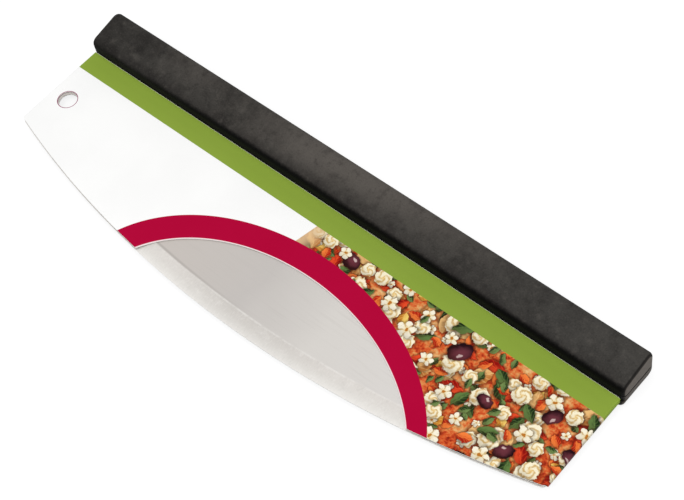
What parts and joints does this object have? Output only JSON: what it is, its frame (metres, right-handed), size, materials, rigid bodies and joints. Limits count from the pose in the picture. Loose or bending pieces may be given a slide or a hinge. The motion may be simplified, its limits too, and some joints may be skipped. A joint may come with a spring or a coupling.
{
  "type": "rocker pizza cutter",
  "caption": "Long curved rocker blade with a ground edge and a hang hole, a straight rubber bar grip along its back and a printed card sleeve that slides off the blade.",
  "frame": {"origin": "middle of the box's footprint, at the height of the handle's flat back", "axes": "+X along the handle with the hang hole at -X, +Y from the cutting edge to the handle, +Z out of the front face"},
  "size_m": [0.359, 0.1062, 0.0183],
  "materials": {
    "blade_steel": "satin, brushed along the bevel",
    "nylon": "fine moulded grain",
    "rubber": "soft matte",
    "screw_steel": "zinc plated",
    "printed_card": null,
    "plain_card": "coated white card"
  },
  "bodies": {
    "cutter": {"blade": "blade_steel", "back_cover": "nylon", "grip_core": "nylon", "rubber_grip": "rubber", "cover_screw_1": "screw_steel", "cover_screw_2": "screw_steel", "cover_screw_3": "screw_steel", "cover_screw_4": "screw_steel", "cover_screw_5": "screw_steel"},
    "sleeve": {"card_front_panel": "printed_card", "card_back_panel": "plain_card"}
  },
  "joints": [
    {"name": "sleeve_slide", "type": "slide", "parent": "cutter", "child": "sleeve", "axis": [0, -1, 0], "range_m": [0, 0.09]}
  ]
}
